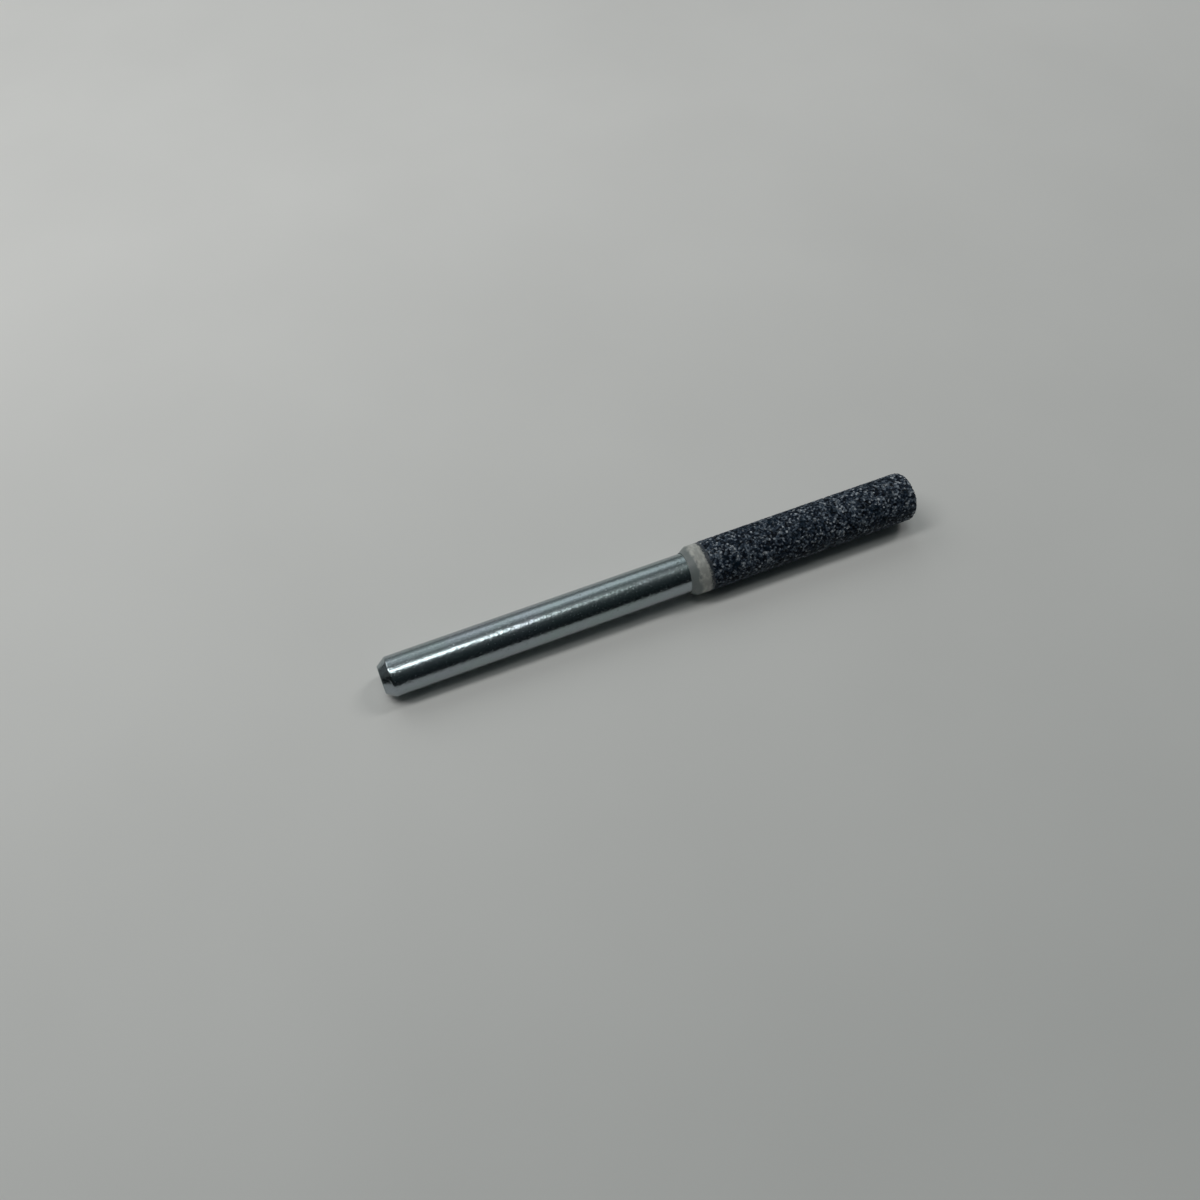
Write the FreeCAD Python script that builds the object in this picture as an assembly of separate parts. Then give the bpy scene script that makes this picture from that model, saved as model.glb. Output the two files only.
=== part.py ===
"""Mounted grinding stone for sharpening saw chain, in millimetres.

An abrasive cylinder is bonded onto the thin tang of a plated steel mandrel. A milky plastic
collar seats on the mandrel's shoulder and centres the stone, and the adhesive that fills the
stone's blind bore also shows as a thin film between the collar and the stone.

Frame: +X is the axis of rotation, from the driven end to the stone's tip, and +Z is up, so the
part lies on its side. The origin is the centre of the flat face on the driven end.
"""

import FreeCAD, Part

import math
import os

# ---- driving dimensions ----

# mandrel
SHANK_DIAMETER = 3.175  # what the tool's collet grips: one eighth of an inch
SHANK_LENGTH = 24.5  # from the driven end's face to where the collar starts
END_BEVEL_LENGTH = 0.72  # along the axis
END_BEVEL_DEPTH = 0.51  # towards the axis
BEVEL_EDGE_ROUND = 0.06
SHOULDER_TAPER = 0.45  # length of the cone from the shank down to the tang
SHOULDER_ROUND = 0.08
TANG_DIAMETER = 1.6
TANG_ROOT_ROUND = 0.15
TANG_TIP_BEVEL = 0.2

# keying rings rolled into the tang, which the adhesive grips
KEY_DEPTH = 0.14
KEY_WIDTH = 0.4
KEY_PITCH = 1.2
KEY_START = 1.6  # from the stone's mouth to the first ring's middle
KEY_END_MARGIN = 1.5  # the least distance from the last ring's middle to the tang's tip

# collar
COLLAR_LENGTH = 1.55
COLLAR_LAP = 0.35  # how far the collar reaches over the shank
COLLAR_LIP = 0.05  # the collar's thickness at its thin edge on the shank
COLLAR_CONE_LENGTH = 0.75
COLLAR_INSET = 0.03  # radial, from the stone's surface down to the collar's
COLLAR_EDGE_ROUND = 0.1
COLLAR_CLEARANCE = 0.01  # radial, between the collar and the mandrel

# adhesive
FILM_THICKNESS = 0.2  # between the collar's face and the stone's mouth
BOND_THICKNESS = 0.17  # radial, between the tang and the stone's bore
BOND_POCKET = 0.7  # adhesive beyond the tang's tip

# abrasive stone
STONE_DIAMETER = 4.0
STONE_LENGTH = 18.2
STONE_SOLID_END = 4.0  # solid abrasive between the bore's end and the stone's tip
STONE_TIP_ROUND = 0.45
STONE_MOUTH_ROUND = 0.04
BORE_END_ROUND = 0.3

# ---- places and sizes that follow from them ----

shank_radius = SHANK_DIAMETER / 2
tang_radius = TANG_DIAMETER / 2
stone_radius = STONE_DIAMETER / 2
collar_radius = stone_radius - COLLAR_INSET
bore_radius = tang_radius + BOND_THICKNESS

collar_start_x = SHANK_LENGTH
shoulder_x = collar_start_x + COLLAR_LAP
tang_root_x = shoulder_x + SHOULDER_TAPER
collar_end_x = collar_start_x + COLLAR_LENGTH
stone_mouth_x = collar_end_x + FILM_THICKNESS
stone_tip_x = stone_mouth_x + STONE_LENGTH
bore_end_x = stone_tip_x - STONE_SOLID_END
tang_tip_x = bore_end_x - BOND_POCKET
ringed_length = tang_tip_x - stone_mouth_x - KEY_START - KEY_END_MARGIN
key_rings = 1 + int(ringed_length // KEY_PITCH)


def rounded_edges(corners):
    """Edges of the closed outline through corners, each given as (x, radius, rounding).

    A corner whose rounding is above zero becomes an arc tangent to its two straight runs.
    """
    points = [FreeCAD.Vector(x, 0, radius) for x, radius, _ in corners]
    starts, middles, ends = [], [], []
    for i, point in enumerate(points):
        rounding = corners[i][2]
        to_last = (points[i - 1] - point).normalize()
        to_next = (points[(i + 1) % len(points)] - point).normalize()
        if rounding <= 0:
            starts.append(point)
            middles.append(None)
            ends.append(point)
            continue
        half_angle = to_last.getAngle(to_next) / 2
        inwards = (to_last + to_next).normalize()
        centre = point + inwards * (rounding / math.sin(half_angle))
        starts.append(point + to_last * (rounding / math.tan(half_angle)))
        middles.append(centre - inwards * rounding)
        ends.append(point + to_next * (rounding / math.tan(half_angle)))
    edges = []
    for i, middle in enumerate(middles):
        if middle is not None:
            edges.append(Part.Arc(starts[i], middle, ends[i]).toShape())
        following = starts[(i + 1) % len(starts)]
        edges.append(Part.LineSegment(ends[i], following).toShape())
    return edges


def turned(corners):
    """The solid that the outline through corners sweeps in a full turn about the X axis."""
    face = Part.Face(Part.Wire(rounded_edges(corners)))
    solid = face.revolve(FreeCAD.Vector(0, 0, 0), FreeCAD.Vector(1, 0, 0), 360)
    solid.fix(1e-7, 1e-7, 1e-7)
    return solid


def tang_corners():
    """The tang's outline inside the stone, from its mouth to the middle of the tang's tip."""
    corners = []
    for ring in range(key_rings):
        middle_x = stone_mouth_x + KEY_START + ring * KEY_PITCH
        corners.append((middle_x - KEY_WIDTH / 2, tang_radius, 0))
        corners.append((middle_x, tang_radius - KEY_DEPTH, 0))
        corners.append((middle_x + KEY_WIDTH / 2, tang_radius, 0))
    corners.append((tang_tip_x - TANG_TIP_BEVEL, tang_radius, 0))
    corners.append((tang_tip_x, tang_radius - TANG_TIP_BEVEL, 0))
    corners.append((tang_tip_x, 0, 0))
    return corners


def mandrel():
    """Steel mandrel: a bevelled shank, a tapered shoulder and a thin tang with keying rings."""
    shank = [
        (0, 0, 0),
        (0, shank_radius - END_BEVEL_DEPTH, BEVEL_EDGE_ROUND),
        (END_BEVEL_LENGTH, shank_radius, BEVEL_EDGE_ROUND),
        (shoulder_x, shank_radius, SHOULDER_ROUND),
        (tang_root_x, tang_radius, TANG_ROOT_ROUND),
    ]
    return turned(shank + tang_corners())


def collar():
    """Plastic collar: a cone that laps over the shank, then a cylinder nearly as wide as the stone."""
    counterbore_radius = shank_radius + COLLAR_CLEARANCE
    hole_radius = tang_radius + COLLAR_CLEARANCE
    return turned(
        [
            (collar_start_x, counterbore_radius, 0),
            (collar_start_x, counterbore_radius + COLLAR_LIP, 0),
            (collar_start_x + COLLAR_CONE_LENGTH, collar_radius, COLLAR_EDGE_ROUND),
            (collar_end_x, collar_radius, 0),
            (collar_end_x, hole_radius, 0),
            (tang_root_x + COLLAR_CLEARANCE, hole_radius, TANG_ROOT_ROUND),
            (shoulder_x + COLLAR_CLEARANCE, counterbore_radius, SHOULDER_ROUND),
        ]
    )


def bond():
    """Adhesive: a film between collar and stone, and the fill between the tang and the blind bore."""
    film_and_bore = [
        (collar_end_x, tang_radius, 0),
        (collar_end_x, collar_radius, 0),
        (stone_mouth_x, collar_radius, 0),
        (stone_mouth_x, bore_radius, 0),
        (bore_end_x, bore_radius, BORE_END_ROUND),
        (bore_end_x, 0, 0),
    ]
    return turned(film_and_bore + tang_corners()[::-1])


def stone():
    """Abrasive cylinder with a rounded tip and a blind bore for the tang."""
    return turned(
        [
            (stone_mouth_x, bore_radius, 0),
            (stone_mouth_x, stone_radius, STONE_MOUTH_ROUND),
            (stone_tip_x, stone_radius, STONE_TIP_ROUND),
            (stone_tip_x, 0, 0),
            (bore_end_x, 0, 0),
            (bore_end_x, bore_radius, BORE_END_ROUND),
        ]
    )


def main():
    """Builds every piece and writes one STEP file each."""
    os.makedirs("parts", exist_ok=True)
    pieces = {
        "mandrel": mandrel(),
        "collar": collar(),
        "bond": bond(),
        "stone": stone(),
    }
    for name, solid in pieces.items():
        if not solid.isValid() or solid.Volume <= 0:
            raise ValueError(f"{name} is not a valid solid")
        solid.exportStep(f"parts/{name}.step")
        print(f"{name}: {solid.Volume:.3f} mm3")


main()
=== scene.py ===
"""Looks of a mounted grinding stone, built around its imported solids.

A steel mandrel with bright zinc plating carries a milky plastic collar and a blue-black abrasive
stone, glued on with an adhesive that shows as a thin film at the stone's mouth. Everything is in
metres, in the part's own frame: +X runs along the axis of rotation from the driven end to the
stone's tip, and +Z is up, so the part lies on its side.
"""

import logging
import math
from dataclasses import dataclass, field
from enum import Enum

import bpy
import numpy as np
from mathutils import Matrix, Vector


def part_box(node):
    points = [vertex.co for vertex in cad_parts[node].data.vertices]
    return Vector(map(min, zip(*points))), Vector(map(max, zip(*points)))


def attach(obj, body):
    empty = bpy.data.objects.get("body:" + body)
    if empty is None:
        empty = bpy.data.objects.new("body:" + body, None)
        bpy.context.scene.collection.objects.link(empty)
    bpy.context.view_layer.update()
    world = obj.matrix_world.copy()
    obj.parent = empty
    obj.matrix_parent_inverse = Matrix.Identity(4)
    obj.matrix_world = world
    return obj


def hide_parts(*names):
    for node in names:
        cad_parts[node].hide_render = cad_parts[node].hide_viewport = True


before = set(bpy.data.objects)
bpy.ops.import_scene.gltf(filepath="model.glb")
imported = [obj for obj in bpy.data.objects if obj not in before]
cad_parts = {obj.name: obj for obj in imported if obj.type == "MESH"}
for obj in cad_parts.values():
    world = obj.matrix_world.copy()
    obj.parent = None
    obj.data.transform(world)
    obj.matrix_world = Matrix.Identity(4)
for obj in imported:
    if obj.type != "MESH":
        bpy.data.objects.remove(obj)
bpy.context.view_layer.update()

log = logging.getLogger("grinding_stone")

MM = 0.001
MICRON = 1e-6
BODY = "root"
BAKE_MAP = "OFBake"
SEAM_ANGLE = -math.pi / 2  # the rings start and end underneath
LEAN_ANGLE = math.radians(31)  # the side that the edges of collar and film lean to

Colour = tuple[float, float, float, float]


class Node(Enum):
    """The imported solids."""

    MANDREL = "mandrel"
    COLLAR = "collar"
    BOND = "bond"
    STONE = "stone"


class Slot(Enum):
    """The record's material slots."""

    PLATED_STEEL = "plated_steel"
    MILKY_PLASTIC = "milky_plastic"
    ADHESIVE = "adhesive"
    ABRASIVE = "abrasive"


class Ends(Enum):
    """How a turned outline closes: on the axis at both ends, or back on its own start."""

    ON_AXIS = "on_axis"
    RING = "ring"


# ---- turned shapes ----


@dataclass(frozen=True)
class Corner:
    """One corner of a turned outline.

    x and radius place it, and rounding is the radius of its arc. The straight run that follows it
    has points at most step apart, and takes a share of the UV map by its length times weight.
    """

    x: float
    radius: float
    rounding: float = 0.0
    step: float = 0.1 * MM
    weight: float = 1.0


@dataclass
class Outline:
    """A turned outline: straight runs between corners, with an arc at each rounded corner."""

    corners: list[Corner]
    ends: Ends = Ends.ON_AXIS
    arc_step: float = 0.02 * MM

    def arcs(self) -> list[np.ndarray]:
        """Points of each corner: one where it is sharp, else an arc from tangent to tangent.

        The arc's centre lies on the bisector of the two runs, at the rounding divided by the sine
        of half the angle between them, and its points turn evenly from one tangent to the other.

        Returns:
            One array of (x, radius) rows for each corner.
        """
        places = np.array([(c.x, c.radius) for c in self.corners])
        found = []
        for i, corner in enumerate(self.corners):
            place = places[i]
            if corner.rounding <= 0:
                found.append(place[None, :])
                continue
            to_last = places[i - 1] - place
            to_next = places[(i + 1) % len(places)] - place
            to_last /= np.linalg.norm(to_last)
            to_next /= np.linalg.norm(to_next)
            half = math.acos(float(np.clip(to_last @ to_next, -1, 1))) / 2
            inwards = (to_last + to_next) / np.linalg.norm(to_last + to_next)
            centre = place + inwards * corner.rounding / math.sin(half)
            reach = corner.rounding / math.tan(half)
            first = place + to_last * reach - centre
            last = place + to_next * reach - centre
            turn = math.pi - 2 * half
            count = max(4, math.ceil(corner.rounding * turn / self.arc_step) + 1)
            share = np.linspace(0, 1, count)[:, None]
            blend = np.sin((1 - share) * turn) * first + np.sin(share * turn) * last
            found.append(centre + blend / math.sin(turn))
        return found

    def trace(self) -> tuple[np.ndarray, np.ndarray]:
        """All points of the outline in order, and how far along the UV map each one is.

        Returns:
            Rows of (x, radius), and one number from 0 to 1 for each row.
        """
        arcs = self.arcs()
        count = len(arcs) if self.ends is Ends.RING else len(arcs) - 1
        points, weights = [], []
        for i, corner in enumerate(self.corners):
            points.append(arcs[i])
            weights.append(np.full(len(arcs[i]), corner.weight))
            if i >= count:
                continue
            start, stop = arcs[i][-1], arcs[(i + 1) % len(arcs)][0]
            steps = max(1, math.ceil(np.linalg.norm(stop - start) / corner.step))
            share = (np.arange(1, steps) / steps)[:, None]
            points.append(start + share * (stop - start))
            weights.append(np.full(steps - 1, corner.weight))
        path = np.concatenate(points)
        around = np.concatenate([path, path[:1]]) if self.ends is Ends.RING else path
        lengths = np.linalg.norm(np.diff(around, axis=0), axis=1)
        lengths *= np.concatenate(weights)[: len(lengths)]
        along = np.concatenate([[0.0], np.cumsum(lengths)]) / lengths.sum()
        return path, along


@dataclass
class TurnedSurface:
    """A surface turned about the X axis, held as grids with a row for each ring.

    The point in row i and column j is (x, r cos a, r sin a), where x and r are the grids' values
    there and a is column j's angle. Uneven surfaces come from changing the grids.
    """

    outline: Outline
    segments: int
    x: np.ndarray = field(init=False)
    radius: np.ndarray = field(init=False)
    angle: np.ndarray = field(init=False)
    along: np.ndarray = field(init=False)

    def __post_init__(self) -> None:
        """Fills the grids from the outline."""
        path, self.along = self.outline.trace()
        turn = np.arange(self.segments) / self.segments
        self.angle = SEAM_ANGLE + 2 * math.pi * turn
        self.x = np.repeat(path[:, :1], self.segments, axis=1)
        self.radius = np.repeat(path[:, 1:], self.segments, axis=1)

    def places(self) -> np.ndarray:
        """Every grid point as (x, y, z), in an array of rows by columns by 3."""
        cosine, sine = np.cos(self.angle), np.sin(self.angle)
        return np.stack([self.x, self.radius * cosine, self.radius * sine], axis=2)

    def normals(self) -> np.ndarray:
        """Outward directions: the cross product of the steps around and along the surface.

        Returns:
            Unit vectors in an array of rows by columns by 3.
        """
        places = self.places()
        if self.outline.ends is Ends.RING:
            along = np.roll(places, -1, axis=0) - np.roll(places, 1, axis=0)
        else:
            along = np.gradient(places, axis=0)
        cosine, sine = np.cos(self.angle), np.sin(self.angle)
        around = np.stack([np.zeros_like(cosine), -sine, cosine], axis=1)
        found = np.cross(np.broadcast_to(around, along.shape), along)
        return found / np.maximum(np.linalg.norm(found, axis=2, keepdims=True), 1e-15)

    def displace(self, heights: np.ndarray) -> None:
        """Moves each point out along its normal by a height, keeping it in its half plane.

        Args:
            heights: Metres, in an array of rows by columns.
        """
        normals = self.normals()
        cosine, sine = np.cos(self.angle), np.sin(self.angle)
        outwards = normals[:, :, 1] * cosine + normals[:, :, 2] * sine
        self.x = self.x + heights * normals[:, :, 0]
        self.radius = self.radius + heights * outwards
        if self.outline.ends is Ends.ON_AXIS:
            self.radius[[0, -1]] = 0.0
            self.x[[0, -1]] = self.x[[0, -1]].mean(axis=1, keepdims=True)

    def faces(self) -> tuple[np.ndarray, np.ndarray]:
        """Grid rows and columns of each quad's corners, anticlockwise seen from outside.

        Returns:
            Two arrays of quads by 4. A row or column number may be one past the last, which
            stands for the first again.
        """
        rows = len(self.along) - 1
        row, column = np.meshgrid(np.arange(rows), np.arange(self.segments), indexing="ij")
        row, column = row.ravel()[:, None], column.ravel()[:, None]
        return row + np.array([0, 0, 1, 1]), column + np.array([0, 1, 1, 0])

    def mesh(self, name: str, attributes: dict[str, np.ndarray]) -> bpy.types.Mesh:
        """The closed mesh, with its UV map and one float attribute for each named grid.

        Quads join neighbouring rings. A ring on the axis becomes one point, and the quads that
        touch it become triangles.

        Args:
            name: The mesh's name.
            attributes: Grids of values by attribute name.

        Returns:
            The mesh, smooth shaded.
        """
        rows, segments = self.x.shape
        numbers = np.arange(rows * segments).reshape(rows, segments)
        grids = {key: grid.copy() for key, grid in attributes.items()}
        if self.outline.ends is Ends.ON_AXIS:
            numbers[0], numbers[-1] = numbers[0, 0], numbers[-1, 0]
            for grid in grids.values():
                grid[[0, -1]] = grid[[0, -1]].mean(axis=1, keepdims=True)
        kept, merged = np.unique(numbers, return_inverse=True)
        merged = merged.reshape(rows, segments)
        row, column = self.faces()
        corner = merged[row % rows, column % segments]
        across = np.stack([self.along[row], column / segments], axis=2)
        distinct = corner != np.roll(corner, 1, axis=1)
        totals = distinct.sum(axis=1)
        made = bpy.data.meshes.new(name)
        made.vertices.add(len(kept))
        made.vertices.foreach_set("co", self.places().reshape(-1, 3)[kept].ravel())
        made.loops.add(int(totals.sum()))
        made.loops.foreach_set("vertex_index", corner[distinct])
        made.polygons.add(len(totals))
        made.polygons.foreach_set("loop_start", np.cumsum(totals) - totals)
        made.polygons.foreach_set("use_smooth", np.ones(len(totals), bool))
        made.uv_layers.new(name=BAKE_MAP).uv.foreach_set("vector", across[distinct].ravel())
        for key, grid in grids.items():
            layer = made.attributes.new(key, "FLOAT", "POINT")
            layer.data.foreach_set("value", grid.ravel()[kept].astype(np.float32))
        made.update(calc_edges=True)
        made.validate()
        return made


@dataclass(frozen=True)
class Waviness:
    """Smooth random unevenness over a turned surface.

    The height is a sum of sine waves along x and around the axis. Each wave has a random
    direction, phase and wavelength, and goes a whole number of times round the axis, so that the
    surface closes. The sum is scaled so that its root mean square is the given amplitude.
    """

    amplitude: float
    shortest: float
    longest: float
    seed: int
    waves: int = 48

    def heights(self, surface: TurnedSurface, radius: float) -> np.ndarray:
        """Heights over the surface's grid.

        Args:
            surface: The surface that the waves run over.
            radius: Where wavelengths around the axis are measured.

        Returns:
            Metres, in an array of rows by columns.
        """
        rng = np.random.default_rng(self.seed)
        total = np.zeros_like(surface.x)
        for _ in range(self.waves):
            length = self.shortest * (self.longest / self.shortest) ** rng.random()
            heading, phase = rng.uniform(0, 2 * math.pi, 2)
            turns = round(2 * math.pi * radius / length * math.sin(heading))
            pulse = 2 * math.pi / length * math.cos(heading)
            total += np.sin(pulse * surface.x + turns * surface.angle + phase)
        return total * self.amplitude / math.sqrt(self.waves / 2)


# ---- node materials ----


class NodeBench:
    """Lays out the nodes of one material or of the world."""

    def __init__(self, tree: bpy.types.NodeTree) -> None:
        """Starts from an empty tree."""
        self.tree = tree
        tree.nodes.clear()

    def add(self, kind: str, inputs: dict, **settings: object) -> bpy.types.Node:
        """Adds one node.

        Args:
            kind: The node's type, without its ShaderNode prefix.
            inputs: What goes into each input, by name or number: an output to link, or a value.
            settings: The node's own properties.

        Returns:
            The node.
        """
        node = self.tree.nodes.new(f"ShaderNode{kind}")
        for name, value in settings.items():
            setattr(node, name, value)
        for name, value in inputs.items():
            if isinstance(value, bpy.types.NodeSocket):
                self.tree.links.new(value, node.inputs[name])
            else:
                node.inputs[name].default_value = value
        return node

    def place(self) -> bpy.types.NodeSocket:
        """The piece's own coordinates, in metres."""
        return self.add("TexCoord", {}).outputs["Object"]

    def attribute(self, name: str) -> bpy.types.NodeSocket:
        """The value of one of the mesh's attributes."""
        return self.add("Attribute", {}, attribute_name=name).outputs["Fac"]

    def noise(self, size: float, detail: float = 2.0, rough: float = 0.5,
              stretch: tuple[float, float, float] = (1, 1, 1)) -> bpy.types.NodeSocket:
        """Cloudy noise from 0 to 1.

        Args:
            size: The distance between its lumps, in metres.
            detail: How many finer layers are added.
            rough: How strong each finer layer is.
            stretch: How many times longer the lumps are along each axis.

        Returns:
            The noise's value.
        """
        scale = tuple(1 / s for s in stretch)
        mapped = self.add("Mapping", {"Vector": self.place(), "Scale": scale})
        inputs = {"Vector": mapped.outputs[0], "Scale": 1 / size}
        inputs |= {"Detail": detail, "Roughness": rough}
        return self.add("TexNoise", inputs).outputs[0]

    def cells(self, size: float, feature: str = "F1", output: str = "Distance",
              randomness: float = 1.0) -> bpy.types.NodeSocket:
        """Random cells.

        Args:
            size: The cells' width, in metres.
            feature: What is measured, such as F1 or DISTANCE_TO_EDGE.
            output: Which output is read.
            randomness: How uneven the cells are, from 0 to 1.

        Returns:
            That output.
        """
        inputs = {"Vector": self.place(), "Scale": 1 / size, "Randomness": randomness}
        return self.add("TexVoronoi", inputs, feature=feature).outputs[output]

    def spread(self, value: bpy.types.NodeSocket, low: float, high: float,
               start: float = 0.0, stop: float = 1.0) -> bpy.types.NodeSocket:
        """Maps low..high to start..stop, held level outside it."""
        inputs = {"Value": value, "From Min": low, "From Max": high}
        inputs |= {"To Min": start, "To Max": stop}
        return self.add("MapRange", inputs, clamp=True).outputs[0]

    def maths(self, operation: str, first: object, second: object) -> bpy.types.NodeSocket:
        """One sum, product or other operation on two numbers or outputs."""
        return self.add("Math", {0: first, 1: second}, operation=operation).outputs[0]

    def mix(self, factor: object, first: object, second: object,
            blend: str = "MIX") -> bpy.types.NodeSocket:
        """Blends from the first colour to the second by factor."""
        inputs = {0: factor, 6: first, 7: second}
        node = self.add("Mix", inputs, data_type="RGBA", blend_type=blend)
        return node.outputs[2]

    def ramp(self, value: bpy.types.NodeSocket,
             stops: list[tuple[float, Colour]]) -> bpy.types.NodeSocket:
        """Colours along a value, blended evenly between stops of (value, colour)."""
        node = self.add("ValToRGB", {"Fac": value})
        elements = node.color_ramp.elements
        while len(elements) < len(stops):
            elements.new(1.0)
        for element, (position, colour) in zip(elements, stops, strict=True):
            element.position, element.color = position, colour
        return node.outputs["Color"]

    def bump(self, height: bpy.types.NodeSocket, distance: float,
             under: bpy.types.NodeSocket | None = None) -> bpy.types.NodeSocket:
        """Turns heights from 0 to 1 into a normal.

        Args:
            height: The heights.
            distance: How far 1 stands above 0, in metres.
            under: The normal that the heights stand on, if not the mesh's own.

        Returns:
            The normal.
        """
        inputs = {"Height": height, "Distance": distance, "Strength": 1.0}
        inputs |= {"Normal": under} if under else {}
        return self.add("Bump", inputs).outputs["Normal"]

    def surface(self, inputs: dict) -> None:
        """Ends the tree in one Principled shader with these inputs."""
        shader = self.add("BsdfPrincipled", inputs)
        self.add("OutputMaterial", {"Surface": shader.outputs[0]})


def new_material(name: str) -> tuple[bpy.types.Material, NodeBench]:
    """An empty node material, and the bench that fills it."""
    material = bpy.data.materials.new(name)
    material.use_nodes = True
    return material, NodeBench(material.node_tree)


def rgb(red: float, green: float, blue: float) -> Colour:
    """A solid linear colour."""
    return (red, green, blue, 1.0)


@dataclass(frozen=True)
class ZincPlate:
    """Bright zinc plating, faintly blue, dulled and pitted by tumbling, scuffed at the driven end."""

    cool: Colour = rgb(0.345, 0.408, 0.414)
    violet: Colour = rgb(0.360, 0.396, 0.430)
    dull: Colour = rgb(0.16, 0.19, 0.185)
    polish: float = 0.15
    haze: float = 0.28
    gloss_size: float = 0.14 * MM
    worn_size: float = 7.0 * MM
    worn_least: float = 0.30
    scuff_end: float = 4.0 * MM
    scuff_most: float = 0.8
    cloud_size: float = 2.2 * MM
    peel_size: float = 0.24 * MM
    peel_height: float = 13 * MICRON
    grain_size: float = 0.10 * MM
    grain_height: float = 4.5 * MICRON
    pit_size: float = 0.42 * MM
    pit_width: float = 0.16
    pit_depth: float = 14 * MICRON
    speck_size: float = 0.12 * MM

    def material(self) -> bpy.types.Material:
        """The plating's node material."""
        made, bench = new_material("zinc_plate")
        cloud = bench.noise(self.cloud_size, 3.0, 0.55, (1.6, 1, 1))
        tint = bench.mix(bench.spread(cloud, 0.38, 0.66), self.cool, self.violet)
        pit = bench.spread(bench.cells(self.pit_size), 0.0, self.pit_width)
        speck = bench.spread(bench.noise(self.speck_size, 3.0, 0.6), 0.58, 0.72, 0.0, 0.6)
        colour = bench.mix(speck, bench.mix(pit, self.dull, tint), self.dull)
        fine = bench.noise(self.gloss_size, 3.0, 0.6)
        gloss = bench.spread(fine, 0.35, 0.7, self.polish, self.haze)
        worn = bench.spread(bench.noise(self.worn_size, 2.0), 0.40, 0.62, self.worn_least, 1.0)
        split = bench.add("SeparateXYZ", {"Vector": bench.place()})
        scuff = bench.spread(split.outputs["X"], 0.0, self.scuff_end, self.scuff_most, 0.0)
        rough = bench.maths("ADD", worn, scuff)
        lumps = bench.maths("MULTIPLY", bench.noise(self.peel_size, 2.0, 0.5), rough)
        peel = bench.bump(lumps, self.peel_height)
        grains = bench.maths("MULTIPLY", bench.noise(self.grain_size, 2.0, 0.5), rough)
        grain = bench.bump(grains, self.grain_height, peel)
        normal = bench.bump(pit, self.pit_depth, grain)
        inputs = {"Base Color": colour, "Metallic": 1.0, "Roughness": gloss}
        bench.surface(inputs | {"Normal": normal})
        return made


@dataclass(frozen=True)
class MilkyPlastic:
    """Milky translucent plastic, greyer where it is thin, and dusty where it meets the stone."""

    thin: Colour
    thick: Colour
    thin_x: float
    thick_x: float
    dusty_x: float
    swirl: Colour = rgb(0.56, 0.57, 0.53)
    swirl_size: float = 0.4 * MM
    wander: float = 0.13 * MM
    dusty: Colour = rgb(0.035, 0.046, 0.060)
    dust_width: float = 0.34 * MM
    glow_depth: float = 0.5 * MM
    roughness: float = 0.38

    def material(self) -> bpy.types.Material:
        """The plastic's node material."""
        made, bench = new_material("milky_plastic")
        split = bench.add("SeparateXYZ", {"Vector": bench.place()})
        cloud = bench.noise(self.swirl_size, 3.0, 0.55, (0.7, 1.3, 1.3))
        wander = bench.spread(cloud, 0.3, 0.7, -self.wander, self.wander)
        along = bench.maths("ADD", split.outputs["X"], wander)
        depth = bench.spread(along, self.thin_x, self.thick_x)
        body = bench.mix(depth, self.thin, self.thick)
        streak = bench.maths("MULTIPLY", bench.spread(cloud, 0.45, 0.63, 0, 0.75), depth)
        swirled = bench.mix(streak, body, self.swirl)
        start = self.dusty_x - self.dust_width / 2
        near = bench.spread(split.outputs["X"], start, start + self.dust_width)
        speckle = bench.spread(bench.noise(0.13 * MM, 3.0, 0.6), 0.3, 0.7, -0.35, 0.35)
        dust = bench.spread(bench.maths("ADD", near, speckle), 0.25, 0.85)
        colour = bench.mix(dust, swirled, self.dusty)
        fine = bench.noise(0.12 * MM, 2.0, 0.5)
        gloss = bench.spread(fine, 0.3, 0.7, self.roughness - 0.06, self.roughness + 0.08)
        normal = bench.bump(fine, 2.5 * MICRON)
        inputs = {"Base Color": colour, "Roughness": gloss, "Normal": normal}
        inputs |= {"Subsurface Weight": 0.7, "Subsurface Radius": (1.0, 0.95, 0.85)}
        bench.surface(inputs | {"Subsurface Scale": self.glow_depth, "IOR": 1.49})
        return made


@dataclass(frozen=True)
class CuredAdhesive:
    """Cured adhesive, milky where it is thick, and speckled with dust from the stone."""

    milky: Colour = rgb(0.36, 0.37, 0.35)
    dusty: Colour = rgb(0.035, 0.046, 0.060)
    speck_size: float = 0.13 * MM
    glow_depth: float = 0.25 * MM

    def material(self) -> bpy.types.Material:
        """The adhesive's node material."""
        made, bench = new_material("cured_adhesive")
        cloud = bench.noise(self.speck_size, 3.0, 0.6)
        speck = bench.maths("ADD", bench.attribute("dust"), bench.spread(cloud, 0.3, 0.7, -0.4, 0.4))
        colour = bench.mix(bench.spread(speck, 0.25, 0.75), self.milky, self.dusty)
        normal = bench.bump(cloud, 8 * MICRON)
        inputs = {"Base Color": colour, "Roughness": 0.4, "Normal": normal}
        inputs |= {"Subsurface Weight": 0.6, "Subsurface Radius": (1.0, 0.95, 0.9)}
        bench.surface(inputs | {"Subsurface Scale": self.glow_depth, "IOR": 1.5})
        return made


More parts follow.
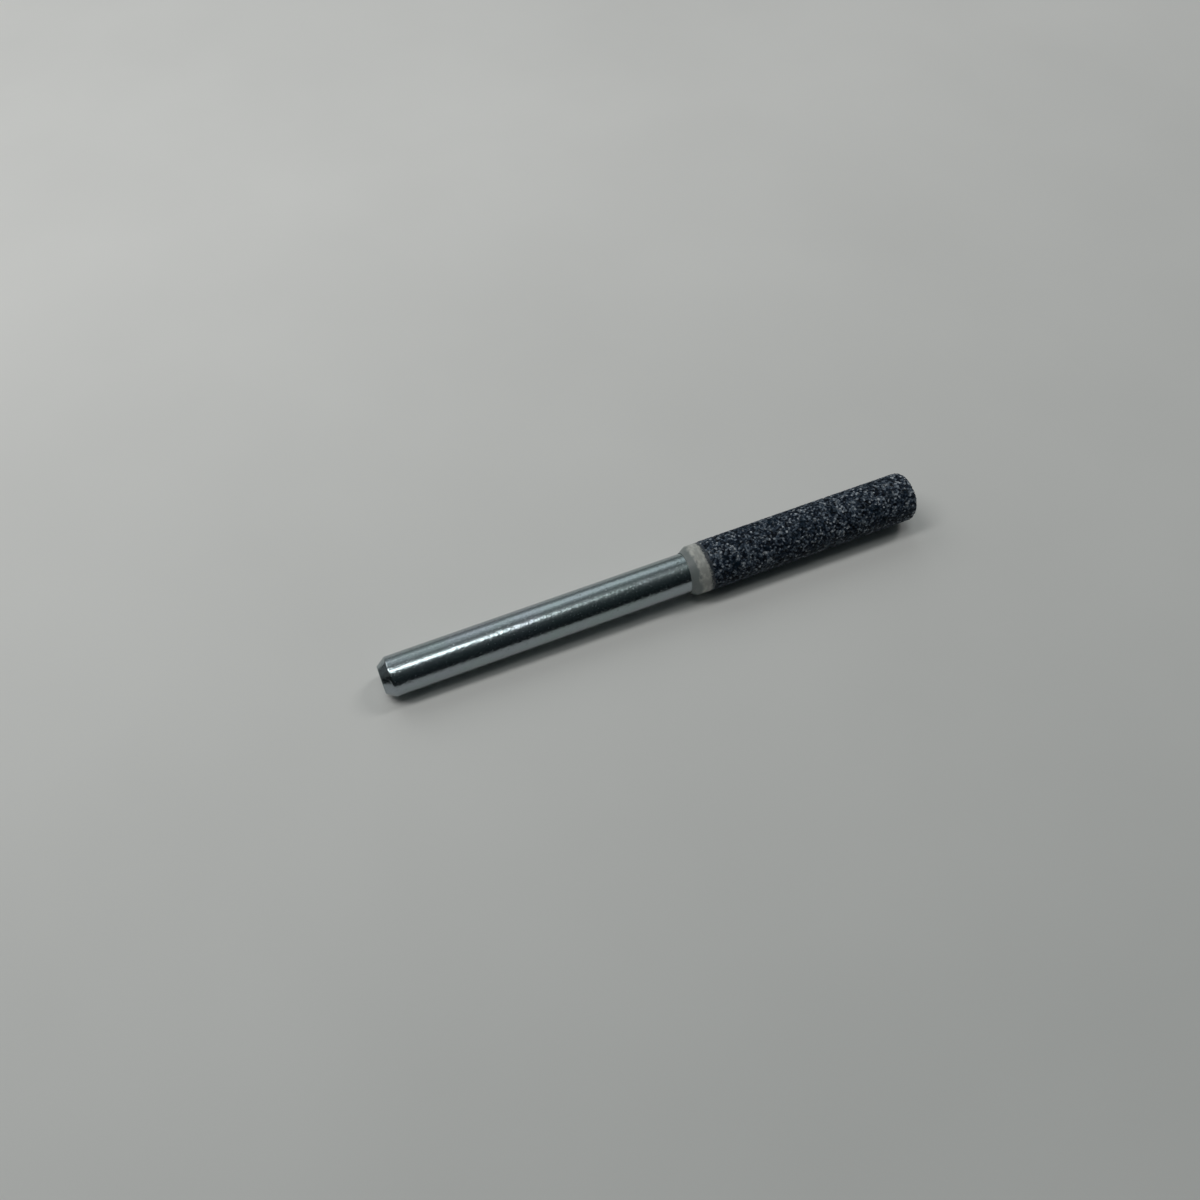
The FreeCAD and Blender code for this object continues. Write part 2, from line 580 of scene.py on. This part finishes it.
@dataclass(frozen=True)
class BlueBlackGrit:
    """Blue-black bonded grains, each of its own tone, with blue patches and painted shade in the gaps
    between grains.
    """

    # painted shade: the near-black colour put in the furrows and sunk pores between grains
    painted_gap_shade: Colour = rgb(0.0012, 0.0025, 0.0045)
    ink: Colour = rgb(0.0028, 0.0060, 0.0130)
    navy: Colour = rgb(0.0100, 0.0185, 0.0340)
    slate: Colour = rgb(0.048, 0.069, 0.100)
    steel: Colour = rgb(0.132, 0.166, 0.206)
    pale: Colour = rgb(0.255, 0.295, 0.340)
    white: Colour = rgb(0.46, 0.50, 0.545)
    patch: Colour = rgb(0.0050, 0.0160, 0.0300)
    crystal_size: float = 0.115 * MM
    crystal_contrast: float = 0.40
    facet_size: float = 0.06 * MM
    facet_height: float = 5 * MICRON
    gleam: float = 0.07

    def material(self) -> bpy.types.Material:
        """The abrasive's node material."""
        made, bench = new_material("blue_black_grit")
        crystals = bench.cells(self.crystal_size, "F1", "Color")
        half = self.crystal_contrast / 2
        shift = bench.spread(crystals, 0.15, 0.85, -half, half)
        tone = bench.maths("ADD", bench.attribute("tone"), shift)
        stops = [(0.0, self.ink), (0.24, self.navy), (0.46, self.slate)]
        stops += [(0.74, self.steel), (0.92, self.pale), (1.0, self.white)]
        grains = bench.ramp(tone, stops)
        fleck = bench.noise(0.09 * MM, 2.0, 0.6)
        patched = bench.mix(bench.attribute("patch"), grains, self.patch)
        # Painted shade: the furrows and pores between grains are darkened towards near black.
        colour = bench.mix(bench.attribute("painted_gap_shade"), patched, self.painted_gap_shade)
        facets = bench.cells(self.facet_size, "F1", "Distance")
        normal = bench.bump(facets, self.facet_height)
        gloss = bench.spread(fleck, 0.3, 0.7, 0.36, 0.62)
        inputs = {"Base Color": colour, "Roughness": gloss, "Normal": normal}
        bench.surface(inputs | {"Specular IOR Level": self.gleam})
        return made


@dataclass(frozen=True)
class PaleTable:
    """A pale satin table top, with faint clouding, a fine matt texture and painted light: paler on
    the far side, with painted shade on the near side.
    """

    # Painted shade and painted light: the near colour is darker and the far colour paler, blended
    # along Y.
    near: Colour = rgb(0.610, 0.620, 0.605)
    far: Colour = rgb(0.890, 0.888, 0.868)
    near_y: float = -40 * MM
    far_y: float = 60 * MM
    cloud_size: float = 22 * MM
    cloud_tone: float = 0.96

    def material(self) -> bpy.types.Material:
        """The table top's node material."""
        made, bench = new_material("pale_table")
        split = bench.add("SeparateXYZ", {"Vector": bench.place()})
        # Painted light and shade: a gradient from the darker near colour to the paler far one.
        distance = bench.spread(split.outputs["Y"], self.near_y, self.far_y)
        painted_light_falloff = bench.mix(distance, self.near, self.far)
        cloud = bench.spread(bench.noise(self.cloud_size, 3.0, 0.5), 0.3, 0.7, self.cloud_tone, 1.0)
        colour = bench.mix(1.0, painted_light_falloff, cloud, "MULTIPLY")
        fine = bench.noise(0.5 * MM, 3.0, 0.6)
        normal = bench.bump(fine, 4 * MICRON)
        bench.surface({"Base Color": colour, "Roughness": 0.6, "Normal": normal})
        return made


# ---- the pieces ----


def finish_piece(mesh: bpy.types.Mesh, node: Node,
                 material: bpy.types.Material) -> bpy.types.Object:
    """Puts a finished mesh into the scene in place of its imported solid.

    Args:
        mesh: The piece's mesh, in place.
        node: The solid that it stands for.
        material: Its finish.

    Returns:
        The piece, riding on the object's one body.
    """
    piece = bpy.data.objects.new(mesh.name, mesh)
    bpy.context.scene.collection.objects.link(piece)
    mesh.materials.append(material)
    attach(piece, BODY)
    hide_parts(node.value)
    log.info("%s: %d faces", piece.name, len(mesh.polygons))
    return piece


def leaning(angle: np.ndarray) -> np.ndarray:
    """How far a leaning edge is shifted at each angle: 1 on one side, 0 opposite, by a cosine."""
    return 0.5 + 0.5 * np.cos(angle - LEAN_ANGLE)


@dataclass
class Tang:
    """The mandrel's thin end inside the stone, with its keying rings."""

    radius: float = 0.8 * MM
    tip_bevel: float = 0.2 * MM
    key_depth: float = 0.14 * MM
    key_width: float = 0.4 * MM
    key_pitch: float = 1.2 * MM
    key_start: float = 1.6 * MM
    key_end_margin: float = 1.5 * MM
    step: float = 0.5 * MM
    weight: float = 0.04

    def corner(self, x: float, radius: float, rounding: float = 0.0) -> Corner:
        """One coarse corner, because nothing of the tang shows."""
        return Corner(x, radius, rounding, self.step, self.weight)

    def corners(self, mouth_x: float, tip_x: float) -> list[Corner]:
        """The tang's outline from the stone's mouth to the middle of the tang's tip.

        Args:
            mouth_x: Where the stone starts.
            tip_x: Where the tang ends.

        Returns:
            Corners in order, with a notch for each keying ring.
        """
        room = tip_x - mouth_x - self.key_start - self.key_end_margin
        rings = 1 + int(room // self.key_pitch)
        found = []
        for ring in range(rings):
            middle = mouth_x + self.key_start + ring * self.key_pitch
            found.append(self.corner(middle - self.key_width / 2, self.radius))
            found.append(self.corner(middle, self.radius - self.key_depth))
            found.append(self.corner(middle + self.key_width / 2, self.radius))
        found.append(self.corner(tip_x - self.tip_bevel, self.radius))
        found.append(self.corner(tip_x, self.radius - self.tip_bevel))
        found.append(self.corner(tip_x, 0.0))
        return found


@dataclass
class Mandrel:
    """The plated steel pin: bevelled driven end, shank, tapered shoulder and tang."""

    tang: Tang
    bevel_length: float = 0.72 * MM
    bevel_depth: float = 0.51 * MM
    bevel_round: float = 0.22 * MM
    face_round: float = 0.09 * MM
    shoulder_lap: float = 0.35 * MM
    shoulder_taper: float = 0.45 * MM
    shoulder_round: float = 0.08 * MM
    root_round: float = 0.15 * MM
    segments: int = 160
    step: float = 0.09 * MM

    def outline(self) -> Outline:
        """The mandrel's outline, from the middle of its driven end to the middle of its tip."""
        tip_x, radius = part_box(Node.MANDREL.value)[1].xy
        shoulder_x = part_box(Node.COLLAR.value)[0].x + self.shoulder_lap
        root_x = shoulder_x + self.shoulder_taper
        mouth_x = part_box(Node.STONE.value)[0].x
        root_round, step = self.root_round, self.step
        corners = [
            Corner(0.0, 0.0, 0.0, step),
            Corner(0.0, radius - self.bevel_depth, self.face_round, step),
            Corner(self.bevel_length, radius, self.bevel_round, step),
            Corner(shoulder_x, radius, self.shoulder_round, step, self.tang.weight),
            self.tang.corner(root_x, self.tang.radius, root_round),
        ]
        return Outline(corners + self.tang.corners(mouth_x, tip_x), arc_step=0.012 * MM)

    def build(self, finish: ZincPlate) -> bpy.types.Object:
        """Turns the outline, with the slight unevenness of a tumbled pin."""
        surface = TurnedSurface(self.outline(), self.segments)
        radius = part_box(Node.MANDREL.value)[1].y
        broad = Waviness(0.6 * MICRON, 0.9 * MM, 3.0 * MM, seed=11)
        fine = Waviness(0.5 * MICRON, 0.35 * MM, 0.8 * MM, seed=12)
        heights = broad.heights(surface, radius) + fine.heights(surface, radius)
        fade = np.clip(surface.radius / (radius * 0.5), 0, 1)
        surface.displace((heights - 2 * MICRON) * fade)
        mesh = surface.mesh("plated_mandrel", {})
        return finish_piece(mesh, Node.MANDREL, finish.material())


@dataclass
class Collar:
    """The milky collar: a thin-edged cone over the shank's end, a ridge, and a short cylinder.

    The cone leans: its edge starts later on one side, by up to lean, and its ridge comes earlier on
    the other side, by up to ridge_lean.
    """

    tang_radius: float
    lip: float = 0.05 * MM
    lap: float = 0.35 * MM
    taper: float = 0.45 * MM
    cone_length: float = 0.75 * MM
    edge_round: float = 0.06 * MM
    clearance: float = 0.01 * MM
    lean: float = 0.18 * MM
    ridge_lean: float = 0.22 * MM
    segments: int = 192

    def outline(self) -> Outline:
        """The collar's outline, from its thin edge over the outside and back through the hole."""
        low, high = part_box(Node.COLLAR.value)
        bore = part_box(Node.MANDREL.value)[1].y + self.clearance
        hole = self.tang_radius + self.clearance
        shoulder_x = low.x + self.lap + self.clearance
        fine, coarse, hidden = 0.04 * MM, 0.25 * MM, 0.1
        corners = [
            Corner(low.x, bore, 0.0, fine),
            Corner(low.x, bore + self.lip, 0.02 * MM, fine),
            Corner(low.x + self.cone_length, high.y, self.edge_round, fine),
            Corner(high.x, high.y, 0.03 * MM, coarse, hidden),
            Corner(high.x, hole, 0.0, coarse, hidden),
            Corner(shoulder_x + self.taper, hole, 0.15 * MM, coarse, hidden),
            Corner(shoulder_x, bore, 0.08 * MM, coarse, hidden),
        ]
        return Outline(corners, Ends.RING, arc_step=0.015 * MM)

    def build(self, finish: MilkyPlastic) -> bpy.types.Object:
        """Turns the outline, a little uneven outside as a small moulding is."""
        surface = TurnedSurface(self.outline(), self.segments)
        low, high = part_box(Node.COLLAR.value)
        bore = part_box(Node.MANDREL.value)[1].y + self.clearance
        broad = Waviness(7 * MICRON, 0.8 * MM, 2.5 * MM, seed=21)
        fine = Waviness(1.5 * MICRON, 0.3 * MM, 0.7 * MM, seed=22)
        heights = broad.heights(surface, high.y) + fine.heights(surface, high.y)
        outside = np.clip((surface.radius - bore - self.lip / 2) / (0.15 * MM), 0, 1)
        inner = np.clip((high.x - surface.x) / (0.1 * MM), 0, 1)
        surface.displace(np.minimum(heights - 6 * MICRON, 0.0) * outside * inner)
        before = np.maximum(low.x + self.cone_length - surface.x, 0.0) / self.cone_length
        ridge_x = low.x + self.cone_length
        near_ridge = np.interp(surface.x, [low.x, ridge_x, high.x], [0.0, 1.0, 0.0]) * outside
        lean = leaning(surface.angle)
        surface.x = surface.x + self.lean * lean * before - self.ridge_lean * (1 - lean) * near_ridge
        mesh = surface.mesh("milky_collar", {})
        return finish_piece(mesh, Node.COLLAR, finish.material())


@dataclass
class AdhesiveBond:
    """The adhesive: a fill round the tang, a film at the stone's mouth, and a feathered edge."""

    tang: Tang
    thickness: float = 0.17 * MM
    bore_round: float = 0.3 * MM
    film_sink: float = 0.004 * MM
    feather_reach: float = 0.42 * MM
    feather_radius: float = 1.930 * MM
    dust_width: float = 0.30 * MM
    segments: int = 224

    def outline(self) -> Outline:
        """The adhesive's outline, from the tang's tip back to the collar and out to the bore."""
        low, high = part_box(Node.BOND.value)
        mouth_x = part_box(Node.STONE.value)[0].x
        tip_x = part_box(Node.MANDREL.value)[1].x
        tang, bore = self.tang, self.tang.radius + self.thickness
        inner = tang.corners(mouth_x, tip_x)[::-1]
        film = high.y - self.film_sink
        fine, back = 0.03 * MM, 0.06 * MM
        outer = [
            tang.corner(low.x, tang.radius),
            Corner(low.x, film, 0.015 * MM, fine),
            Corner(mouth_x, film, 0.0, fine),
            Corner(mouth_x + self.feather_reach, self.feather_radius, 0.0, fine, tang.weight),
            tang.corner(mouth_x, self.feather_radius - back),
            tang.corner(mouth_x, bore),
            tang.corner(high.x, bore, self.bore_round),
            tang.corner(high.x, 0.0),
        ]
        return Outline(inner + outer, arc_step=0.05 * MM)

    def build(self, finish: CuredAdhesive) -> bpy.types.Object:
        """Turns the outline, with a front over the stone that leans and wanders round the axis.

        The front's reach at each angle is scaled by the lean and by random waves. The film turns
        from clean to dusty across the stone's mouth, later where the front reaches further.
        """
        surface = TurnedSurface(self.outline(), self.segments)
        mouth_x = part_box(Node.STONE.value)[0].x
        rng = np.random.default_rng(31)
        wander = np.zeros(self.segments)
        for turns in range(1, 15):
            size, phase = rng.normal() / math.sqrt(turns), rng.uniform(0, 2 * math.pi)
            wander += size * np.sin(turns * surface.angle + phase)
        reach = 0.45 - 0.15 * leaning(surface.angle) + 0.08 * wander / wander.std()
        outside = surface.radius > self.feather_radius - 0.05 * MM
        past = np.maximum(surface.x - mouth_x, 0.0) * outside
        surface.x = surface.x - past * (1 - np.clip(reach, 0.3, 1.0))
        ripple = Waviness(3 * MICRON, 0.2 * MM, 0.6 * MM, seed=32)
        film = (surface.radius > self.feather_radius) & (surface.x < mouth_x + 1 * MM)
        surface.radius = surface.radius + ripple.heights(surface, self.feather_radius) * film
        half_dusty = mouth_x + (0.30 * reach - 0.30) * MM
        dust = np.clip((surface.x - half_dusty) / self.dust_width + 0.5, 0, 1)
        mesh = surface.mesh("adhesive_bond", {"dust": dust})
        return finish_piece(mesh, Node.BOND, finish.material())


@dataclass
class GrainPack:
    """Packed grains in space.

    Each cell of a cubic lattice holds one grain's middle at a random place in it, and every point
    in space belongs to the grain with the nearest middle.
    """

    low: np.ndarray
    high: np.ndarray
    pitch: float
    seed: int

    def __post_init__(self) -> None:
        """Draws the grains' middles and their numbers."""
        rng = np.random.default_rng(self.seed)
        self.origin = self.low - 2 * self.pitch
        shape = np.ceil((self.high - self.low) / self.pitch).astype(int) + 5
        self.middles = rng.random((*shape, 3))
        self.lots = rng.random((*shape, 4))
        self.tilts = rng.normal(size=(*shape, 3))

    def nearest(self, points: np.ndarray) -> dict[str, np.ndarray]:
        """The grain that each point belongs to.

        Args:
            points: Rows of (x, y, z).

        Returns:
            lots: four random numbers of the point's grain; tilts: its random slope; offset: from
            its middle to the point, in pitches; edge: how much further the next middle is, in
            pitches, which is 0 halfway between two grains.
        """
        scaled = (points - self.origin) / self.pitch
        cell = np.floor(scaled).astype(int)
        first = np.full(len(points), np.inf)
        second = first.copy()
        chosen = np.zeros((len(points), 3), int)
        steps = np.stack(np.meshgrid(*[[-1, 0, 1]] * 3, indexing="ij"), axis=-1)
        for step in steps.reshape(-1, 3):
            near = cell + step
            middle = near + self.middles[tuple(near.T)]
            distance = np.linalg.norm(scaled - middle, axis=1)
            nearer = distance < first
            second = np.where(nearer, first, np.minimum(second, distance))
            first = np.where(nearer, distance, first)
            chosen[nearer] = near[nearer]
        at = tuple(chosen.T)
        offset = scaled - chosen - self.middles[at]
        return {
            "lots": self.lots[at],
            "tilts": self.tilts[at],
            "offset": offset,
            "edge": second - first,
        }


@dataclass
class GrindingStone:
    """The abrasive cylinder, with a dressed side, a rougher rounded tip and a blind bore."""

    bore_radius: float
    mouth_round: float = 0.05 * MM
    tip_round: float = 0.55 * MM
    bore_round: float = 0.3 * MM
    pitch: float = 0.18 * MM
    segments: int = 240
    step: float = 0.052 * MM
    pore_share: float = 0.25
    pore_depth: float = 0.085 * MM
    gap_depth: float = 0.045 * MM
    glue_reach: float = 0.20 * MM
    glue_sink: float = 0.060 * MM
    tilt: float = 0.020 * MM

    def outline(self) -> Outline:
        """The stone's outline, from the bore's end out through the mouth to the tip's middle."""
        low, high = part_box(Node.STONE.value)
        bore_end_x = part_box(Node.BOND.value)[1].x
        bore, coarse, hidden = self.bore_radius, 2.5 * MM, 0.01
        corners = [
            Corner(bore_end_x, 0.0, 0.0, coarse, hidden),
            Corner(bore_end_x, bore, self.bore_round, coarse, hidden),
            Corner(low.x, bore, 0.0, 0.25 * MM, 0.2),
            Corner(low.x, high.y, self.mouth_round, self.step),
            Corner(high.x, high.y, self.tip_round, 0.09 * MM),
            Corner(high.x, 0.0),
        ]
        return Outline(corners, arc_step=0.05 * MM)

    def build(self, finish: BlueBlackGrit) -> bpy.types.Object:
        """Turns the outline and sets the grains into it.

        Each grain has a level top with a small random slope, some are sunk as open pores, and the
        gaps between grains are furrows. On the side, dressing has cut every top to the cylinder.
        """
        surface = TurnedSurface(self.outline(), self.segments)
        low, high = (np.array(corner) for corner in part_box(Node.STONE.value))
        places = surface.places().reshape(-1, 3)
        grains = GrainPack(low, high, self.pitch, seed=41).nearest(places)
        tip = np.clip((places[:, 0] - high[0] + self.tip_round) / self.tip_round, 0, 1)
        angle = np.arctan2(places[:, 2], places[:, 1])
        glued = self.glue_reach * (0.4 + 0.6 * leaning(angle))
        mouth = np.sqrt(np.clip(1 - (places[:, 0] - low[0]) / glued, 0, 1))
        furrow = np.clip(1 - grains["edge"] / 0.28, 0, 1)
        sunk = grains["lots"][:, 0] < self.pore_share
        depth = grains["lots"][:, 1] * np.where(sunk, self.pore_depth, 0.012 * MM)
        depth += self.gap_depth * furrow**1.5
        slope = (grains["tilts"] * grains["offset"]).sum(axis=1) * self.tilt
        depth += -slope * (1 + tip) + 0.05 * MM * tip * grains["lots"][:, 2]
        depth = np.maximum(depth, 0.0) + self.glue_sink * mouth
        outside = np.hypot(places[:, 1], places[:, 2]) > self.bore_radius + 0.05 * MM
        outside |= places[:, 0] > high[0] - self.tip_round
        depth = (depth * outside).reshape(surface.x.shape)
        surface.displace(-depth)
        patch = Waviness(1.0, 1.1 * MM, 2.8 * MM, seed=42).heights(surface, high[1])
        patch = np.clip((patch - 0.9) / 0.8, 0, 1) * 0.7
        worn = np.clip((surface.x - high[0] + 2.5 * MM) / (2.5 * MM), 0, 1)
        tone = grains["lots"][:, 3].reshape(surface.x.shape)
        # Painted shade for the furrows and sunk pores, by how deep they lie.
        painted_gap_shade = np.clip(furrow * 0.8 + 0.8 * sunk * grains["lots"][:, 1], 0, 1)
        tone = np.clip(tone + 0.08 * worn - 0.10 * patch, 0, 1)
        grids = {"tone": tone, "painted_gap_shade": painted_gap_shade.reshape(tone.shape), "patch": patch}
        mesh = surface.mesh("abrasive_stone", grids)
        return finish_piece(mesh, Node.STONE, finish.material())


# ---- the studio ----


@dataclass(frozen=True)
class Softbox:
    """One soft rectangular lamp, aimed at the object."""

    name: str
    azimuth: float
    elevation: float
    distance: float
    width: float
    depth: float
    radiance: float
    tint: tuple[float, float, float] = (1.0, 1.0, 1.0)
    twist: float = 0.0

    def build(self, aim: Vector) -> bpy.types.Object:
        """Hangs the lamp and turns it towards the aim.

        The lamp's power is its radiance times its area times pi, as for any even flat emitter.
        """
        lamp = bpy.data.lights.new(self.name, "AREA")
        lamp.shape, lamp.size, lamp.size_y = "RECTANGLE", self.width, self.depth
        lamp.energy = self.radiance * self.width * self.depth * math.pi
        lamp.color = self.tint
        hung = bpy.data.objects.new(self.name, lamp)
        back = direction(self.azimuth, self.elevation)
        twist = math.radians(self.twist)
        upwards = Vector((-math.sin(twist), math.cos(twist), 0.0))
        hung.matrix_world = looking(aim + back * self.distance, -back, upwards)
        hung.visible_camera = False
        bpy.context.scene.collection.objects.link(hung)
        return hung


def direction(azimuth: float, elevation: float) -> Vector:
    """The unit vector towards a viewpoint, in degrees: azimuth 0 is at -Y and 90 at +X."""
    around, up = math.radians(azimuth), math.radians(elevation)
    level = math.cos(up)
    return Vector((math.sin(around) * level, -math.cos(around) * level, math.sin(up)))


def looking(place: Vector, forward: Vector, upwards: Vector) -> Matrix:
    """The matrix of a camera or lamp at a place, looking forward, its top towards upwards."""
    back = -forward.normalized()
    right = upwards.cross(back).normalized()
    turned = Matrix((right, back.cross(right), back)).transposed()
    return Matrix.Translation(place) @ turned.to_4x4()


@dataclass
class Studio:
    """The table that the part lies on, the light round it, and the camera."""

    bevel_length: float
    camera_azimuth: float = -21.056
    camera_elevation: float = 56.836
    camera_distance: float = 84.689 * MM
    aim_share: float = 0.3949
    aim_offset: float = 0.25 * MM
    lens: float = 33.0
    sensor: float = 36.0
    table_side: float = 0.8

    def tilt(self) -> float:
        """The table's slope along the part, which rests on its bevel's edge and the stone's mouth."""
        shank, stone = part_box(Node.MANDREL.value)[1].z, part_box(Node.STONE.value)
        return math.atan2(stone[1].z - shank, stone[0].x - self.bevel_length)

    def table_normal(self) -> Vector:
        """The direction straight up from the table."""
        return Vector((math.sin(self.tilt()), 0.0, math.cos(self.tilt())))

    def build_table(self, finish: PaleTable) -> bpy.types.Object:
        """Lays a large level plate under the part's two points of rest."""
        half = self.table_side / 2
        slope = math.tan(self.tilt())
        rest = -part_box(Node.MANDREL.value)[1].z
        corners = np.array([(-half, -half), (half, -half), (half, half), (-half, half)])
        heights = rest - slope * (corners[:, 0] - self.bevel_length)
        mesh = bpy.data.meshes.new("table")
        mesh.from_pydata(np.column_stack([corners, heights]).tolist(), [], [(0, 1, 2, 3)])
        mesh.materials.append(finish.material())
        table = bpy.data.objects.new("table", mesh)
        bpy.context.scene.collection.objects.link(table)
        return table

    def build_camera(self) -> bpy.types.Object:
        """Sets up the camera, level with the table, aimed near the middle of the part."""
        data = bpy.data.cameras.new("camera")
        data.lens, data.sensor_width = self.lens, self.sensor
        data.clip_start, data.clip_end = 5 * MM, 20.0
        camera = bpy.data.objects.new("camera", data)
        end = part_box(Node.STONE.value)[1].x
        aim = Vector((end * self.aim_share, self.aim_offset, 0.0))
        back = direction(self.camera_azimuth, self.camera_elevation)
        camera.matrix_world = looking(aim + back * self.camera_distance, -back, self.table_normal())
        bpy.context.scene.collection.objects.link(camera)
        bpy.context.scene.camera = camera
        return camera

    def build_lamps(self) -> list[bpy.types.Object]:
        """Hangs the overhead lamp and the broad soft one behind the part."""
        aim = Vector((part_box(Node.STONE.value)[1].x / 2, 0.0, 0.0))
        lamps = [
            Softbox("overhead", -25, 86.3, 0.50, 0.130, 0.120, 4.2, (0.97, 1.0, 0.99), 27),
            Softbox("behind", 167.2, 37, 0.60, 0.17, 0.28, 0.52, (0.94, 0.99, 1.0)),
            Softbox("behind_left", -148, 38, 0.22, 0.12, 0.13, 1.1, (1.0, 0.99, 0.975)),
            Softbox("left", -109, 61.3, 0.26, 0.14, 0.042, 7.3, (1.0, 0.985, 0.975)),
            Softbox("right", 102.5, 50.9, 0.40, 0.14, 0.047, 9.5, (1.0, 0.99, 0.98)),
        ]
        return [lamp.build(aim) for lamp in lamps]

    def build_world(self) -> bpy.types.World:
        """Surrounds the part with a room that is dark in front and pale above and behind.

        The light depends on a direction's angle around the part's axis, from the front horizon
        through straight up to the back horizon, and on its height, and it is dimmer towards both
        ends of the part. The camera itself sees an even pale backdrop.
        """
        world = bpy.data.worlds.new("room")
        world.use_nodes = True
        bpy.context.scene.world = world
        bench = NodeBench(world.node_tree)
        split = bench.add("SeparateXYZ", {"Vector": bench.add("TexCoord", {}).outputs["Generated"]})
        angle = bench.maths("ARCTAN2", split.outputs["Y"], split.outputs["Z"])
        backwards = bench.spread(angle, -math.pi / 2, math.pi / 2)
        stops = [
            (0.000, rgb(0.012, 0.018, 0.021)),
            (0.225, rgb(0.032, 0.044, 0.047)),
            (0.345, rgb(0.075, 0.092, 0.095)),
            (0.430, rgb(0.170, 0.190, 0.190)),
            (0.475, rgb(0.450, 0.480, 0.470)),
            (0.555, rgb(0.490, 0.520, 0.510)),
            (0.612, rgb(0.130, 0.150, 0.150)),
            (0.690, rgb(0.560, 0.620, 0.630)),
            (0.800, rgb(0.600, 0.650, 0.660)),
            (1.000, rgb(0.600, 0.640, 0.640)),
        ]
        walls = bench.ramp(backwards, stops)
        height = bench.spread(split.outputs["Z"], 0.0, 0.6, 0.35, 1.0)
        aside = bench.maths("ABSOLUTE", bench.maths("SUBTRACT", split.outputs["X"], 0.08), 0.0)
        middle = bench.spread(aside, 0.10, 0.40, 1.0, 0.35)
        room = bench.mix(1.0, walls, bench.maths("MULTIPLY", height, middle), "MULTIPLY")
        seen = bench.add("LightPath", {}).outputs["Is Camera Ray"]
        colour = bench.mix(seen, room, rgb(0.72, 0.72, 0.71))
        light = bench.add("Background", {"Color": colour, "Strength": 0.76})
        bench.add("OutputWorld", {"Surface": light.outputs[0]})
        return world

    def build(self) -> None:
        """Builds the whole studio and sets plain colours, with no film look."""
        self.build_table(PaleTable())
        self.build_camera()
        self.build_lamps()
        self.build_world()
        bpy.context.scene.view_settings.view_transform = "Standard"
        log.info("studio: table, camera, lamps and room")


def main() -> None:
    """Builds the studio and then the object's pieces, from the driven end to the tip."""
    logging.basicConfig(level=logging.INFO, format="%(name)s: %(message)s")
    tang = Tang()
    mandrel = Mandrel(tang)
    collar_start_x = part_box(Node.COLLAR.value)[0].x
    bond = AdhesiveBond(tang)
    Studio(mandrel.bevel_length).build()
    mandrel.build(ZincPlate())
    plastic = MilkyPlastic(
        thin=rgb(0.205, 0.232, 0.230),
        thick=rgb(0.37, 0.38, 0.36),
        thin_x=collar_start_x + 0.58 * MM,
        thick_x=collar_start_x + 0.84 * MM,
        dusty_x=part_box(Node.COLLAR.value)[1].x + 0.02 * MM,
    )
    Collar(tang.radius).build(plastic)
    bond.build(CuredAdhesive())
    GrindingStone(tang.radius + bond.thickness).build(BlueBlackGrit())


if __name__ == "__main__":
    main()
